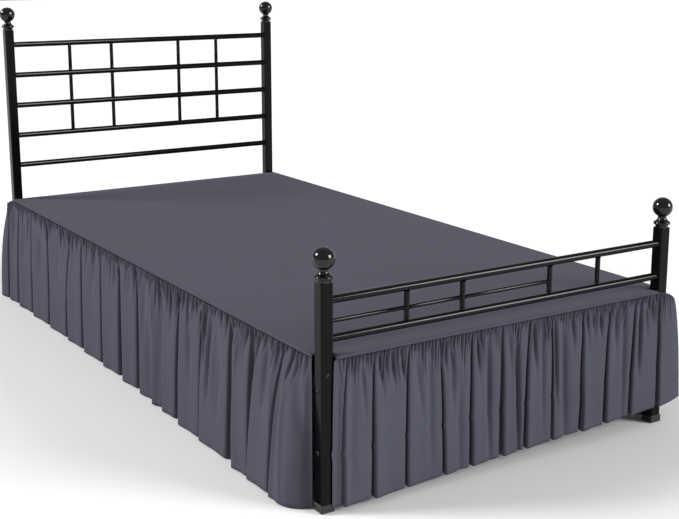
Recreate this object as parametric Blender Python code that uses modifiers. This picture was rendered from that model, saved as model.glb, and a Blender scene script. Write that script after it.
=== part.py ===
"""A metal bed with turned ball finials, dressed in a three-sided gathered bed skirt.

Metres, +Z up, the floor at z = 0. The foot end faces -Y. The skirt is a flat deck panel over the slats
with a gathered ruffle down each side and across the foot, split at the corners for the posts.
"""
import math
from collections import namedtuple

import bmesh
import bpy
from mathutils import Vector

# The bed's driving dimensions. Posts are placed by their centres.
POST_SPACING_X = 1.020
POST_SPACING_Y = 2.092
POST_SIDE = 0.031
FOOT_POST_TOP = 0.526
HEAD_POST_TOP = 0.955
# The side ruffles run on past the head posts further than the foot ruffle stands out, so the bed sits
# this far toward the foot and the whole object stays centred on the origin.
BED_SHIFT_Y = -0.004

GLIDE_SIDE = 0.036
GLIDE_HEIGHT = 0.019
BALL_RADIUS = 0.0256
BALL_ABOVE_POST = 0.0524

RAIL_RADIUS = 0.0095
SPINDLE_RADIUS = 0.0064
THIN_RAIL_RADIUS = 0.005
HEAD_RAIL_HEIGHTS = (0.904, 0.798, 0.692, 0.586, 0.480)
FOOT_UPPER_RAIL_Z = 0.485
FOOT_LOWER_RAIL_Z = 0.398
FOOT_THIN_RAIL_Z = 0.437
SPINDLE_X = (-0.291, -0.133, 0.133, 0.291)

# The skirt's driving dimensions.
CLOTH = 0.002  # sheet thickness
DECK_Z = 0.361  # middle of the deck sheet
SEAM_OUT = 0.0035  # how far the seams hang outside the posts' outer faces
DECK_ROLL = 0.003  # radius at which the deck turns down over the frame
DECK_BORDER = 0.040  # strip round the deck's flat middle
SIDE_SEAM_Z = (0.353, 0.352)  # at the foot end and at the head end
FOOT_SEAM_Z = (0.352, 0.354)  # at the left and at the right
SIDE_HEM_Z = 0.003
FOOT_HEM_Z = (0.011, 0.053)  # at the left and at the right
FOOT_FLARE = 0.012  # how far the foot ruffle stands out from its seam at the hem
SIDE_END_CURL = 4.0  # how sharply the free ends curl round the posts they pass, per metre
FOOT_END_CURL = 2.4
SIDE_POST_CURL = 18.0  # how sharply the ends beside a foot post curl in to it, per metre
FOOT_POST_CURL = 4.0
SIDE_CURL_RUN = 0.070  # how far before the post's middle that curl starts, on a side ruffle
FOOT_CURL_RUN = 0.050  # and on the foot ruffle
SIDE_END_SHORT = 0.019  # how far before the foot post's middle a side ruffle ends, just behind the post
FOOT_END_REACH = (0.001, 0.005)  # the foot ruffle's end past the post's inner face, and its growth
HEAD_END_GROWTH = 0.010  # how much longer a side ruffle is at its hem, past the head post
RIGHT_END_GROWTH = 0.045  # and the foot ruffle, past the right foot post
FLARE_RATE = 2.8  # how quickly, down the drop, a ruffle reaches its flare
TAB_LENGTH = 0.055  # cloth that runs past an inner post face, outside the post
HEAD_TAB_DROOP = 0.25  # metres that a tab falls for each metre along it
FOOT_TAB_DROOP = 0.12

# The frame under the deck.
SLAT_COUNT = 11
SLAT_WIDTH = 0.050
SLAT_THICKNESS = 0.012
SLAT_HALF_LENGTH = 0.504
SLAT_FIRST_Y = 0.94
RAIL_TUBE_WIDTH = 0.025
SIDE_RAIL_X = 0.506  # to the middle of a side rail
SIDE_RAIL_DEPTH = 0.040
CROSS_RAIL_DEPTH = 0.025
CENTRE_RAIL_DEPTH = 0.025

FIT = 0.0003  # air between two pieces that touch
SEAM_GAP = 0.0009  # air between the deck's edge and a ruffle's, which leans as it leaves the seam
POST_CLEARANCE = 0.003  # cut edges of cloth beside a post

HALF_X = POST_SPACING_X / 2
HALF_Y = POST_SPACING_Y / 2
FOOT_Y = -HALF_Y + BED_SHIFT_Y
HEAD_Y = HALF_Y + BED_SHIFT_Y
POST_INNER_X = HALF_X - POST_SIDE / 2
FOOT_INNER_Y = FOOT_Y + POST_SIDE / 2
HEAD_INNER_Y = HEAD_Y - POST_SIDE / 2
SEAM_X = HALF_X + POST_SIDE / 2 + SEAM_OUT
SEAM_FOOT_Y = FOOT_Y - POST_SIDE / 2 - SEAM_OUT
DECK_HEAD_Y = HEAD_INNER_Y - POST_CLEARANCE
NOTCH_X = POST_INNER_X - POST_CLEARANCE
NOTCH_Y = FOOT_INNER_Y + POST_CLEARANCE
SLAT_TOP = DECK_Z - CLOTH / 2 - FIT
FRAME_TOP = SLAT_TOP - SLAT_THICKNESS - FIT

# How far a side ruffle stands out from its seam at the hem. Places are metres from the bed's middle,
# from the foot to the head.
Flare = namedtuple("Flare", "place out")
SIDE_FLARE = (
    Flare(-1.062, 0.050),
    Flare(-0.992, 0.045),
    Flare(-0.912, 0.046),
    Flare(-0.632, 0.034),
    Flare(-0.112, 0.020),
    Flare(0.588, 0.0215),
    Flare(0.968, 0.026),
    Flare(1.028, 0.029),
    Flare(1.088, 0.050),
)

# One main fold of a ruffle, which is a groove and the lobe after it. Places are metres along the run from
# its middle: seam and hem say where the groove's far edge starts and ends. The gap is the groove's width
# half way down. Depths are how far it goes in below the gathers, half way down and at the hem. The lip is
# how far the lobe's first edge stands out at the hem, and the crease is the depth of the short fold that
# fades out down the lobe.
Fold = namedtuple("Fold", "seam hem gap top_depth middle_depth hem_depth lip crease")

SIDE_FOLDS = (
    Fold(-1.055, -1.023, 0.012, 0.010, 0.014, 0.016, 0.008, 0.002),
    Fold(-0.963, -0.926, 0.016, 0.014, 0.022, 0.030, 0.009, 0.003),
    Fold(-0.838, -0.783, 0.015, 0.016, 0.024, 0.026, 0.009, 0.003),
    Fold(-0.668, -0.620, 0.014, 0.020, 0.008, 0.026, 0.008, 0.002),
    Fold(-0.448, -0.458, 0.014, 0.006, 0.003, 0.022, 0.008, 0.003),
    Fold(-0.360, -0.317, 0.016, 0.012, 0.022, 0.030, 0.008, 0.003),
    Fold(-0.200, -0.157, 0.014, 0.016, 0.022, 0.026, 0.008, 0.002),
    Fold(-0.056, -0.007, 0.022, 0.016, 0.028, 0.034, 0.010, 0.003),
    Fold(0.072, 0.120, 0.018, 0.018, 0.026, 0.026, 0.009, 0.003),
    Fold(0.185, 0.222, 0.008, 0.003, 0.005, 0.008, 0.014, 0.010),
    Fold(0.234, 0.285, 0.009, 0.008, 0.010, 0.008, 0.010, 0.002),
    Fold(0.360, 0.392, 0.018, 0.016, 0.026, 0.030, 0.012, 0.003),
    Fold(0.499, 0.528, 0.009, 0.012, 0.010, 0.008, 0.010, 0.005),
    Fold(0.654, 0.710, 0.022, 0.018, 0.026, 0.034, 0.011, 0.003),
    Fold(0.782, 0.805, 0.016, 0.022, 0.015, 0.004, 0.008, 0.004),
    Fold(0.917, 0.965, 0.026, 0.014, 0.010, 0.010, 0.009, 0.003),
)
FOOT_FOLDS = (
    Fold(-0.466, -0.483, 0.003, 0.005, 0.006, 0.006, 0.004, 0.003),
    Fold(-0.395, -0.404, 0.003, 0.010, 0.014, 0.008, 0.006, 0.003),
    Fold(-0.302, -0.311, 0.003, 0.011, 0.018, 0.020, 0.007, 0.004),
    Fold(-0.216, -0.205, 0.003, 0.012, 0.018, 0.020, 0.006, 0.003),
    Fold(-0.122, -0.124, 0.004, 0.014, 0.020, 0.016, 0.007, 0.004),
    Fold(-0.030, -0.031, 0.009, 0.010, 0.016, 0.018, 0.006, 0.004),
    Fold(0.053, 0.043, 0.004, 0.010, 0.018, 0.018, 0.007, 0.002),
    Fold(0.121, 0.129, 0.004, 0.009, 0.012, 0.012, 0.006, 0.005),
    Fold(0.226, 0.221, 0.003, 0.013, 0.020, 0.018, 0.008, 0.003),
    Fold(0.318, 0.304, 0.004, 0.010, 0.016, 0.022, 0.007, 0.003),
    Fold(0.409, 0.393, 0.006, 0.009, 0.014, 0.014, 0.007, 0.003),
    Fold(0.491, 0.492, 0.007, 0.008, 0.012, 0.016, 0.006, 0.002),
)

# A fold's section. A station lies so many metres from the groove's far edge, plus a share of the groove's
# width, plus a share of the way to the next groove. Its height is a share of the groove's depth, of the
# lip and of the crease.
Station = namedtuple("Station", "after gap lobe depth lip crease")
FOLD_STATIONS = (
    Station(-0.008, -1.00, 0.00, -0.05, 0.0, 0.0),
    Station(0.000, -0.85, 0.00, -0.30, 0.0, 0.0),
    Station(0.000, -0.45, 0.00, -1.00, 0.0, 0.0),
    Station(0.001, 0.00, 0.00, -0.40, 0.0, 0.0),
    Station(0.004, 0.00, 0.00, 0.00, 0.65, 0.0),
    Station(0.015, 0.00, 0.00, 0.00, 1.00, 0.0),
    Station(0.000, 0.00, 0.36, 0.00, 0.80, 0.0),
    Station(0.000, 0.00, 0.46, 0.00, 0.60, -1.0),
    Station(0.000, 0.00, 0.56, 0.00, 0.45, 0.0),
)
GAP_SPREAD = 0.003  # a groove is this much wider between the middles of its two sheets
ROW_SHARES = (0.0, 0.09, 0.28, 0.62, 1.0)  # rows of points down a ruffle, as shares of its drop
GATHER_HEIGHTS = (0.0, 0.0022, 0.0012, 0.0, 0.0)  # the small gathers below the seam, row by row

MODEL = bpy.data.collections.new("bed_skirt_with_bed")


def clear_scene():
    for scene_object in list(bpy.data.objects):
        bpy.data.objects.remove(scene_object, do_unlink=True)
    bpy.context.scene.collection.children.link(MODEL)


def finish(name, colour, roughness, metallic=0.0):
    """A material of one part's own."""
    material = bpy.data.materials.new(name)
    material.use_nodes = True
    shader = material.node_tree.nodes["Principled BSDF"]
    shader.inputs["Base Color"].default_value = (*colour, 1.0)
    shader.inputs["Roughness"].default_value = roughness
    shader.inputs["Metallic"].default_value = metallic
    return material


def black_metal(name):
    return finish(name, (0.012, 0.012, 0.013), 0.3)


def slate_cloth(name):
    return finish(name, (0.098, 0.098, 0.127), 0.9)


def add_part(name, data, material):
    part = bpy.data.objects.new(name, data)
    part.data.materials.append(material)
    MODEL.objects.link(part)
    return part


def add_mesh_part(name, bm, material):
    mesh = bpy.data.meshes.new(name)
    bm.to_mesh(mesh)
    bm.free()
    return add_part(name, mesh, material)


# ---- bed frame


def block(name, low, high, edge_radius=0.0):
    """A bar with its four long edges rounded."""
    low, high = Vector(low), Vector(high)
    size = high - low
    bm = bmesh.new()
    bmesh.ops.create_cube(bm, size=1.0)
    bmesh.ops.scale(bm, vec=size, verts=bm.verts)
    if edge_radius:
        along = max(range(3), key=lambda axis: size[axis])
        long_edges = [e for e in bm.edges if abs((e.verts[0].co - e.verts[1].co)[along]) > size[along] / 2]
        bmesh.ops.bevel(
            bm, geom=long_edges, offset=edge_radius, segments=2, profile=0.5, affect="EDGES", material=-1
        )
    bmesh.ops.translate(bm, vec=(low + high) / 2, verts=bm.verts)
    return add_mesh_part(name, bm, black_metal(name))


def rod(name, start, end, radius, sides_resolution):
    """A straight round bar, as a bevelled two-point curve."""
    curve = bpy.data.curves.new(name, "CURVE")
    curve.dimensions = "3D"
    curve.bevel_depth = radius
    curve.bevel_resolution = sides_resolution
    curve.use_fill_caps = True
    spline = curve.splines.new("POLY")
    spline.points.add(1)
    spline.points[0].co = (*start, 1.0)
    spline.points[1].co = (*end, 1.0)
    return add_part(name, curve, black_metal(name))


def finial_profile(post_top):
    """(radius, z) down the outer side: the ball, the waisted neck, the flared collar and its base."""
    centre = post_top + BALL_ABOVE_POST
    neck_angle = math.radians(-64)
    steps = 9
    ball = []
    for i in range(steps + 1):
        angle = math.radians(90) + (neck_angle - math.radians(90)) * i / steps
        ball.append((BALL_RADIUS * math.cos(angle), centre + BALL_RADIUS * math.sin(angle)))
    ball[0] = (0.0, centre + BALL_RADIUS)
    turned_base = (
        (0.0105, 0.0265),
        (0.0125, 0.0215),
        (0.0185, 0.0160),
        (0.0215, 0.0130),
        (0.0215, 0.0098),
        (0.0170, 0.0080),
        (0.0165, FIT),
        (0.0000, FIT),
    )
    return ball + [(radius, post_top + above) for radius, above in turned_base]


def finial(name, x, y, post_top):
    profile = finial_profile(post_top)
    bm = bmesh.new()
    points = [bm.verts.new((radius, 0.0, z - post_top)) for radius, z in profile]
    for above, below in zip(points, points[1:]):
        bm.edges.new((above, below))
    part = add_mesh_part(name, bm, black_metal(name))
    part.location = (x, y, post_top)
    screw = part.modifiers.new("turn", "SCREW")
    screw.axis = "Z"
    screw.steps = 20
    screw.render_steps = 20
    screw.use_merge_vertices = True
    screw.merge_threshold = 0.00001
    for polygon in part.data.polygons:
        polygon.use_smooth = True


def corner_pieces():
    """Each corner's post, the glide under it and the finial on it."""
    corners = (
        ("foot_left", -HALF_X, FOOT_Y, FOOT_POST_TOP),
        ("foot_right", HALF_X, FOOT_Y, FOOT_POST_TOP),
        ("head_left", -HALF_X, HEAD_Y, HEAD_POST_TOP),
        ("head_right", HALF_X, HEAD_Y, HEAD_POST_TOP),
    )
    post = POST_SIDE / 2
    glide = GLIDE_SIDE / 2
    for name, x, y, top in corners:
        block(f"post_{name}", (x - post, y - post, GLIDE_HEIGHT + FIT), (x + post, y + post, top), 0.003)
        glide_part = block(f"glide_{name}", (x - glide, y - glide, 0.0), (x + glide, y + glide, GLIDE_HEIGHT))
        bevel = glide_part.modifiers.new("soft_edges", "BEVEL")
        bevel.width = 0.002
        bevel.segments = 1
        finial(f"finial_{name}", x, y, top)


def cross_bar(name, y, z, radius, x_from, x_to):
    rod(name, (x_from, y, z), (x_to, y, z), radius, 6)


def upright(name, x, y, z_from, z_to):
    rod(name, (x, y, z_from), (x, y, z_to), SPINDLE_RADIUS, 4)


def headboard():
    reach = POST_INNER_X - FIT
    for i, z in enumerate(HEAD_RAIL_HEIGHTS, 1):
        cross_bar(f"head_rail_{i}", HEAD_Y, z, RAIL_RADIUS, -reach, reach)
    gap = RAIL_RADIUS + FIT
    spindle_rows = list(zip(HEAD_RAIL_HEIGHTS[:3], HEAD_RAIL_HEIGHTS[1:4]))
    for row, (above, below) in enumerate(spindle_rows, 1):
        for column, x in enumerate(SPINDLE_X, 1):
            upright(f"head_spindle_{row}_{column}", x, HEAD_Y, below + gap, above - gap)


def footboard():
    reach = POST_INNER_X - FIT
    cross_bar("foot_rail_upper", FOOT_Y, FOOT_UPPER_RAIL_Z, RAIL_RADIUS, -reach, reach)
    cross_bar("foot_rail_lower", FOOT_Y, FOOT_LOWER_RAIL_Z, RAIL_RADIUS, -reach, reach)
    gap = RAIL_RADIUS + FIT
    for column, x in enumerate(SPINDLE_X, 1):
        upright(f"foot_spindle_{column}", x, FOOT_Y, FOOT_LOWER_RAIL_Z + gap, FOOT_UPPER_RAIL_Z - gap)
    # The thin rail stops at the third spindle.
    stops = [-POST_INNER_X, *SPINDLE_X[:3]]
    for i, (left, right) in enumerate(zip(stops, stops[1:]), 1):
        left_gap = FIT if i == 1 else SPINDLE_RADIUS + FIT
        x_from = left + left_gap
        x_to = right - SPINDLE_RADIUS - FIT
        cross_bar(f"foot_thin_rail_{i}", FOOT_Y, FOOT_THIN_RAIL_Z, THIN_RAIL_RADIUS, x_from, x_to)


def under_frame():
    """Side, cross and centre rails between the posts, and the slats that lie on them."""
    half_tube = RAIL_TUBE_WIDTH / 2
    for side, sign in (("left", -1), ("right", 1)):
        x = sign * SIDE_RAIL_X
        block(
            f"side_rail_{side}",
            (x - half_tube, FOOT_INNER_Y + FIT, FRAME_TOP - SIDE_RAIL_DEPTH),
            (x + half_tube, HEAD_INNER_Y - FIT, FRAME_TOP),
            0.002,
        )
    reach = POST_INNER_X - FIT
    for end, y in (("foot", FOOT_Y), ("head", HEAD_Y)):
        block(
            f"cross_rail_{end}",
            (-reach, y - half_tube, FRAME_TOP - CROSS_RAIL_DEPTH),
            (reach, y + half_tube, FRAME_TOP),
            0.002,
        )
    block(
        "centre_rail",
        (-half_tube, FOOT_Y + half_tube + FIT, FRAME_TOP - CENTRE_RAIL_DEPTH),
        (half_tube, HEAD_Y - half_tube - FIT, FRAME_TOP),
        0.002,
    )
    for i in range(SLAT_COUNT):
        y = BED_SHIFT_Y - SLAT_FIRST_Y + 2 * SLAT_FIRST_Y * i / (SLAT_COUNT - 1)
        block(
            f"slat_{i + 1}",
            (-SLAT_HALF_LENGTH, y - SLAT_WIDTH / 2, SLAT_TOP - SLAT_THICKNESS),
            (SLAT_HALF_LENGTH, y + SLAT_WIDTH / 2, SLAT_TOP),
            0.002,
        )


# ---- skirt


def blend(first, second, share):
    return first + (second - first) * share


def side_seam_z(y):
    """The side seams fall a little toward the head, and droop where they pass the head posts."""
    past_deck = max(0.0, y - DECK_HEAD_Y)
    return blend(*SIDE_SEAM_Z, (y - FOOT_Y) / POST_SPACING_Y) - HEAD_TAB_DROOP * past_deck


def foot_seam_z(x):
    past_deck = max(0.0, x - NOTCH_X)
    return blend(*FOOT_SEAM_Z, (x + HALF_X) / POST_SPACING_X) - FOOT_TAB_DROOP * past_deck


def thicken(part):
    """Gives an open sheet its cloth thickness, half on each side."""
    solidify = part.modifiers.new("cloth", "SOLIDIFY")
    solidify.thickness = CLOTH
    solidify.offset = 0.0
    solidify.use_even_offset = False
    for polygon in part.data.polygons:
        polygon.use_smooth = True


def roll_steps():
    """(outward, downward) steps from the deck's flat part to its upright drop."""
    turns = [math.radians(45), math.radians(90)]
    places = [(0.0, 0.0)] + [(DECK_ROLL * math.sin(t), DECK_ROLL * (1 - math.cos(t))) for t in turns]
    return [(b[0] - a[0], b[1] - a[1]) for a, b in zip(places, places[1:])]


def extruded(bm, edges, move):
    """Extrudes edges by one move, and returns the new free edges."""
    made = bmesh.ops.extrude_edge_only(bm, edges=edges)["geom"]
    points = [g for g in made if isinstance(g, bmesh.types.BMVert)]
    bmesh.ops.translate(bm, vec=move, verts=points)
    return [g for g in made if isinstance(g, bmesh.types.BMEdge) and all(v in points for v in g.verts)]


def deck():
    """The flat panel, notched at the corners, with its drop at both sides and at the foot. Beside the
    head posts and the right foot post the drop runs on outside the post."""
    flat_x = SEAM_X - DECK_ROLL
    flat_foot_y = SEAM_FOOT_Y + DECK_ROLL
    bm = bmesh.new()
    stations_x = (-flat_x, -NOTCH_X, -NOTCH_X + DECK_BORDER, NOTCH_X - DECK_BORDER, NOTCH_X, flat_x)
    stations_y = (flat_foot_y, NOTCH_Y, NOTCH_Y + DECK_BORDER, DECK_HEAD_Y - DECK_BORDER, DECK_HEAD_Y)
    last_column = len(stations_x) - 1
    last_row = len(stations_y) - 1
    bmesh.ops.create_grid(bm, x_segments=last_column, y_segments=last_row, size=1.0)
    for v in bm.verts:
        column = round((v.co.x + 1) / 2 * last_column)
        row = round((v.co.y + 1) / 2 * last_row)
        v.co = (stations_x[column], stations_y[row], DECK_Z)
    corner_faces = [
        f
        for f in bm.faces
        if f.calc_center_median().y < NOTCH_Y and abs(f.calc_center_median().x) > NOTCH_X
    ]
    bmesh.ops.delete(bm, geom=corner_faces, context="FACES")

    def edges_on(test):
        return [e for e in bm.edges if e.is_boundary and all(test(v.co) for v in e.verts)]

    drops = (
        (edges_on(lambda p: p.x < -flat_x + FIT), Vector((-1, 0, 0))),
        (edges_on(lambda p: p.x > flat_x - FIT), Vector((1, 0, 0))),
        (edges_on(lambda p: p.y < flat_foot_y + FIT), Vector((0, -1, 0))),
    )
    for edges, outward in drops:
        for out, down in roll_steps():
            edges = extruded(bm, edges, outward * out - Vector((0, 0, down)))
        edges = extruded(bm, edges, Vector((0, 0, -FIT)))
        for v in {v for e in edges for v in e.verts}:
            v.co.z = foot_seam_z(v.co.x) if outward.y else side_seam_z(v.co.y)

    def drop_end(place, axis):
        """The upright part of a drop's end, where the tab that passes a post goes on."""
        upright_top = DECK_Z - DECK_ROLL + FIT
        return edges_on(lambda p: abs(p[axis] - place) < FIT and p.z < upright_top)

    head_tabs = [e for e in drop_end(DECK_HEAD_Y, 1) if abs(e.verts[0].co.x) > SEAM_X - FIT]
    foot_tab = [e for e in drop_end(NOTCH_X, 0) if e.verts[0].co.y < SEAM_FOOT_Y + FIT]
    head_fall = side_seam_z(DECK_HEAD_Y + TAB_LENGTH) - side_seam_z(DECK_HEAD_Y)
    foot_fall = foot_seam_z(NOTCH_X + TAB_LENGTH) - foot_seam_z(NOTCH_X)
    extruded(bm, head_tabs, Vector((0, TAB_LENGTH, head_fall)))
    extruded(bm, foot_tab, Vector((TAB_LENGTH, 0, foot_fall)))
    thicken(add_mesh_part("skirt_deck", bm, slate_cloth("skirt_deck")))


def depth_at(fold, share):
    """How deep a fold's groove is at a share of the drop."""
    top, middle = ROW_SHARES[2], ROW_SHARES[3]
    if share <= top:
        return fold.top_depth * share / top
    if share <= middle:
        return blend(fold.top_depth, fold.middle_depth, (share - top) / (middle - top))
    return blend(fold.middle_depth, fold.hem_depth, (share - middle) / (1 - middle))


def flare_at(share):
    """The share of the full flare that a ruffle has reached at a share of its drop."""
    return (1 - math.exp(-FLARE_RATE * share)) / (1 - math.exp(-FLARE_RATE))


def crease_at(share):
    """A crease is deepest a little below the seam and is gone before the hem."""
    return math.sin(math.pi * min(1.0, share / 0.75)) ** 2


def side_flare(place):
    for here, there in zip(SIDE_FLARE, SIDE_FLARE[1:]):
        if place <= there.place:
            share = (place - here.place) / (there.place - here.place)
            return blend(here.out, there.out, max(0.0, share))
    return SIDE_FLARE[-1].out


def ruffle_section(folds, start, end, share):
    """Points (along the run, height of the fold) at one share of the drop."""
    edges = [blend(f.seam, f.hem, flare_at(share)) for f in folds]
    section = [(start, 0.0)]
    for fold, edge, next_edge in zip(folds, edges, edges[1:] + [end]):
        gap = fold.gap * (0.5 + share) + GAP_SPREAD
        for s in FOLD_STATIONS:
            height = s.depth * depth_at(fold, share) + s.lip * fold.lip * share
            height += s.crease * fold.crease * crease_at(share)
            section.append((edge + s.after + s.gap * gap + s.lobe * (next_edge - edge), height))
    section.append((end, 0.0))
    gather = GATHER_HEIGHTS[ROW_SHARES.index(share)]
    return [(along, height + gather * (-1) ** i) for i, (along, height) in enumerate(section)]


def ruffle(name, folds, ends, place):
    """A gathered strip. ends(share) gives the run's start and end at a share of the drop, and
    place(along, height, share) puts a point in the room."""
    rows = [ruffle_section(folds, *ends(share), share) for share in ROW_SHARES]
    columns = len(rows[0])
    bm = bmesh.new()
    bmesh.ops.create_grid(bm, x_segments=columns - 1, y_segments=len(ROW_SHARES) - 1, size=1.0)
    for v in bm.verts:
        column = round((v.co.x + 1) / 2 * (columns - 1))
        row = round((1 - v.co.y) / 2 * (len(ROW_SHARES) - 1))
        along, height = rows[row][column]
        v.co = place(along, height, ROW_SHARES[row])
    bmesh.ops.recalc_face_normals(bm, faces=bm.faces)
    thicken(add_mesh_part(name, bm, slate_cloth(name)))


def side_ruffle(name, sign):
    """A side ruffle's run goes from the head to the foot. The right one is the left one's mirror image."""

    def ends(share):
        past_post = HALF_Y - POST_SIDE / 2 - POST_CLEARANCE + TAB_LENGTH
        return -past_post - HEAD_END_GROWTH * share, HALF_Y - SIDE_END_SHORT

    def place(along, height, share):
        y = BED_SHIFT_Y - along
        past_head_post = max(0.0, y - HEAD_Y)
        near_foot_post = max(0.0, FOOT_Y + SIDE_CURL_RUN - y)
        curl = SIDE_END_CURL * past_head_post**2 + SIDE_POST_CURL * near_foot_post**2
        out = (side_flare(-along) - curl) * flare_at(share) + height
        return (sign * (SEAM_X + out), y, blend(side_seam_z(y) - SEAM_GAP, SIDE_HEM_Z, share))

    ruffle(name, SIDE_FOLDS, ends, place)


def foot_ruffle():
    def ends(share):
        start = -POST_INNER_X - FOOT_END_REACH[0] - FOOT_END_REACH[1] * flare_at(share)
        return start, POST_INNER_X - POST_CLEARANCE + TAB_LENGTH + RIGHT_END_GROWTH * math.sqrt(share)

    def place(along, height, share):
        past_post = max(0.0, along - HALF_X)
        near_post = max(0.0, -HALF_X + FOOT_CURL_RUN - along)
        curl = FOOT_END_CURL * past_post**2 + FOOT_POST_CURL * near_post**2
        out = (FOOT_FLARE - curl) * flare_at(share) + height
        hem = blend(*FOOT_HEM_Z, (along + HALF_X) / POST_SPACING_X)
        return (along, SEAM_FOOT_Y - out, blend(foot_seam_z(along) - SEAM_GAP, hem, share))

    ruffle("skirt_foot_ruffle", FOOT_FOLDS, ends, place)


clear_scene()
corner_pieces()
headboard()
footboard()
under_frame()
deck()
side_ruffle("skirt_left_ruffle", -1)
side_ruffle("skirt_right_ruffle", 1)
foot_ruffle()
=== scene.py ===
"""A gathered bed skirt on its black metal bed: the finish of every surface, and the cloth in its folds.

Metres, +Z up, the floor at z = 0, the foot of the bed at -Y.
"""
import math
import random
from collections import namedtuple

import bmesh
import bpy
from mathutils import Matrix, Vector, noise


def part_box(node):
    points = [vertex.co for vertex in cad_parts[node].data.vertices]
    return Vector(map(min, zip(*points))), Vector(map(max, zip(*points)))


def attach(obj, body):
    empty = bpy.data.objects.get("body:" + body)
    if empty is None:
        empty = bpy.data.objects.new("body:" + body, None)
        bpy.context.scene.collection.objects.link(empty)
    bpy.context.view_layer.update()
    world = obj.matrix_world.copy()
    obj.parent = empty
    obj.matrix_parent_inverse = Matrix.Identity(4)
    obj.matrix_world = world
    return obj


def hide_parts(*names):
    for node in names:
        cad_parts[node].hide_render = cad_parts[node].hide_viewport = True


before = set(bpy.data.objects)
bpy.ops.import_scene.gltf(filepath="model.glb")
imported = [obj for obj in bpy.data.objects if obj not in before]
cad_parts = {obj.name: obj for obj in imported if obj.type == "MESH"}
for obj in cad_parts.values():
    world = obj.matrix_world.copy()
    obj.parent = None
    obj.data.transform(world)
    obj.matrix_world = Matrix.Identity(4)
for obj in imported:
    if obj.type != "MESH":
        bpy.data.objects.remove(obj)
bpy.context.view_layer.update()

# ---- camera, floor and light
# The bed stands on a plain pale floor that runs on out of sight, under soft studio light. The key light
# comes from the left and the head, and the front light from the foot and the right. Both are low enough to
# pick out the folds and leave the deep ones dark.


def linear(hex_colour):
    """An sRGB hex colour as linear RGBA."""
    channels = [int(hex_colour[i : i + 2], 16) / 255 for i in (1, 3, 5)]
    return (*[c / 12.92 if c <= 0.04045 else ((c + 0.055) / 1.055) ** 2.4 for c in channels], 1.0)


def node(material, kind, links=(), **settings):
    """Adds a shader node. Settings that name a socket set its value, and others set the node's own
    property. Links are (this node's input, the socket it comes from)."""
    added = material.node_tree.nodes.new(kind)
    for name, value in settings.items():
        if hasattr(added, name):
            setattr(added, name, value)
        else:
            added.inputs[name.replace("_", " ")].default_value = value
    for name, source in links:
        material.node_tree.links.new(added.inputs[name], source)
    return added


def new_material(name, **shader_values):
    """A material with its Principled shader's sockets set by their names."""
    material = bpy.data.materials.new(name)
    material.use_nodes = True
    shader = material.node_tree.nodes["Principled BSDF"]
    for socket, value in shader_values.items():
        shader.inputs[socket.replace("_", " ")].default_value = value
    return material, shader


def distant_light(name, direction, strength, spread):
    """A far soft light that shines against a direction, with a spread in degrees."""
    data = bpy.data.lights.new(name, "SUN")
    data.energy = strength
    data.angle = math.radians(spread)
    holder = bpy.data.objects.new(name, data)
    bpy.context.scene.collection.objects.link(holder)
    holder.rotation_euler = Vector(direction).to_track_quat("Z", "Y").to_euler()


lens = bpy.data.cameras.new("camera")
lens.sensor_width = 36.0
lens.lens = 65.23
lens.shift_y = -0.06
camera = bpy.data.objects.new("camera", lens)
camera.location = (-1.8395, -3.2204, 1.2113)
camera.rotation_euler = (math.radians(77.883), 0.0, math.radians(-32.26))
bpy.context.scene.collection.objects.link(camera)
bpy.context.scene.camera = camera
bpy.context.scene.view_settings.view_transform = "Standard"

distant_light("key", (-0.72, 0.46, 0.52), 2.9, 18)
distant_light("front", (0.60, -0.72, 0.36), 2.8, 26)

sky = bpy.data.worlds.new("studio")
bpy.context.scene.world = sky
sky.use_nodes = True
walls = sky.node_tree.nodes["Background"]
walls.inputs["Color"].default_value = linear("#ffffff")
walls.inputs["Strength"].default_value = 0.40

FLOOR_HALF = 30.0
floor_bm = bmesh.new()
bmesh.ops.create_grid(floor_bm, x_segments=1, y_segments=1, size=FLOOR_HALF)
bmesh.ops.translate(floor_bm, vec=(0, 0, -0.0005), verts=floor_bm.verts)
floor_mesh = bpy.data.meshes.new("floor")
floor_bm.to_mesh(floor_mesh)
floor_bm.free()
floor = bpy.data.objects.new("floor", floor_mesh)
bpy.context.scene.collection.objects.link(floor)
floor_paint, _ = new_material("matt_floor_paint", Base_Color=linear("#f4f4f4"), Roughness=0.9)
floor_mesh.materials.append(floor_paint)

# ---- posts and the frame under the deck
# Square steel tube and pressed strip, cut and welded, then powder coated: the powder is sprayed on dry and
# baked, and flows out to a smooth black skin with a fine ripple.


def powder_coated_steel(name, specular, gloss):
    """Baked powder is a gloss skin over the steel, so it is a dielectric. Its orange peel is about 1.5 mm
    from crest to crest, which only bends the highlights, and its gloss is a little uneven."""
    material, shader = new_material(name, Base_Color=linear("#060607"), Specular_IOR_Level=specular)
    place = node(material, "ShaderNodeTexCoord")
    from_place = [("Vector", place.outputs["Object"])]
    peel = node(material, "ShaderNodeTexNoise", from_place, Scale=1 / 0.0015, Detail=2.0)
    patches = node(material, "ShaderNodeTexNoise", from_place, Scale=1 / 0.05, Detail=3.0)
    from_patches = [("Value", patches.outputs["Fac"])]
    roughness = node(material, "ShaderNodeMapRange", from_patches, To_Min=gloss, To_Max=2 * gloss)
    from_peel = [("Height", peel.outputs["Fac"])]
    ripple = node(material, "ShaderNodeBump", from_peel, Strength=0.05, Distance=0.0002)
    material.node_tree.links.new(shader.inputs["Roughness"], roughness.outputs["Result"])
    material.node_tree.links.new(shader.inputs["Normal"], ripple.outputs["Normal"])
    return material


STEEL = powder_coated_steel("powder_coated_steel", 0.12, 0.08)
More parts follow.
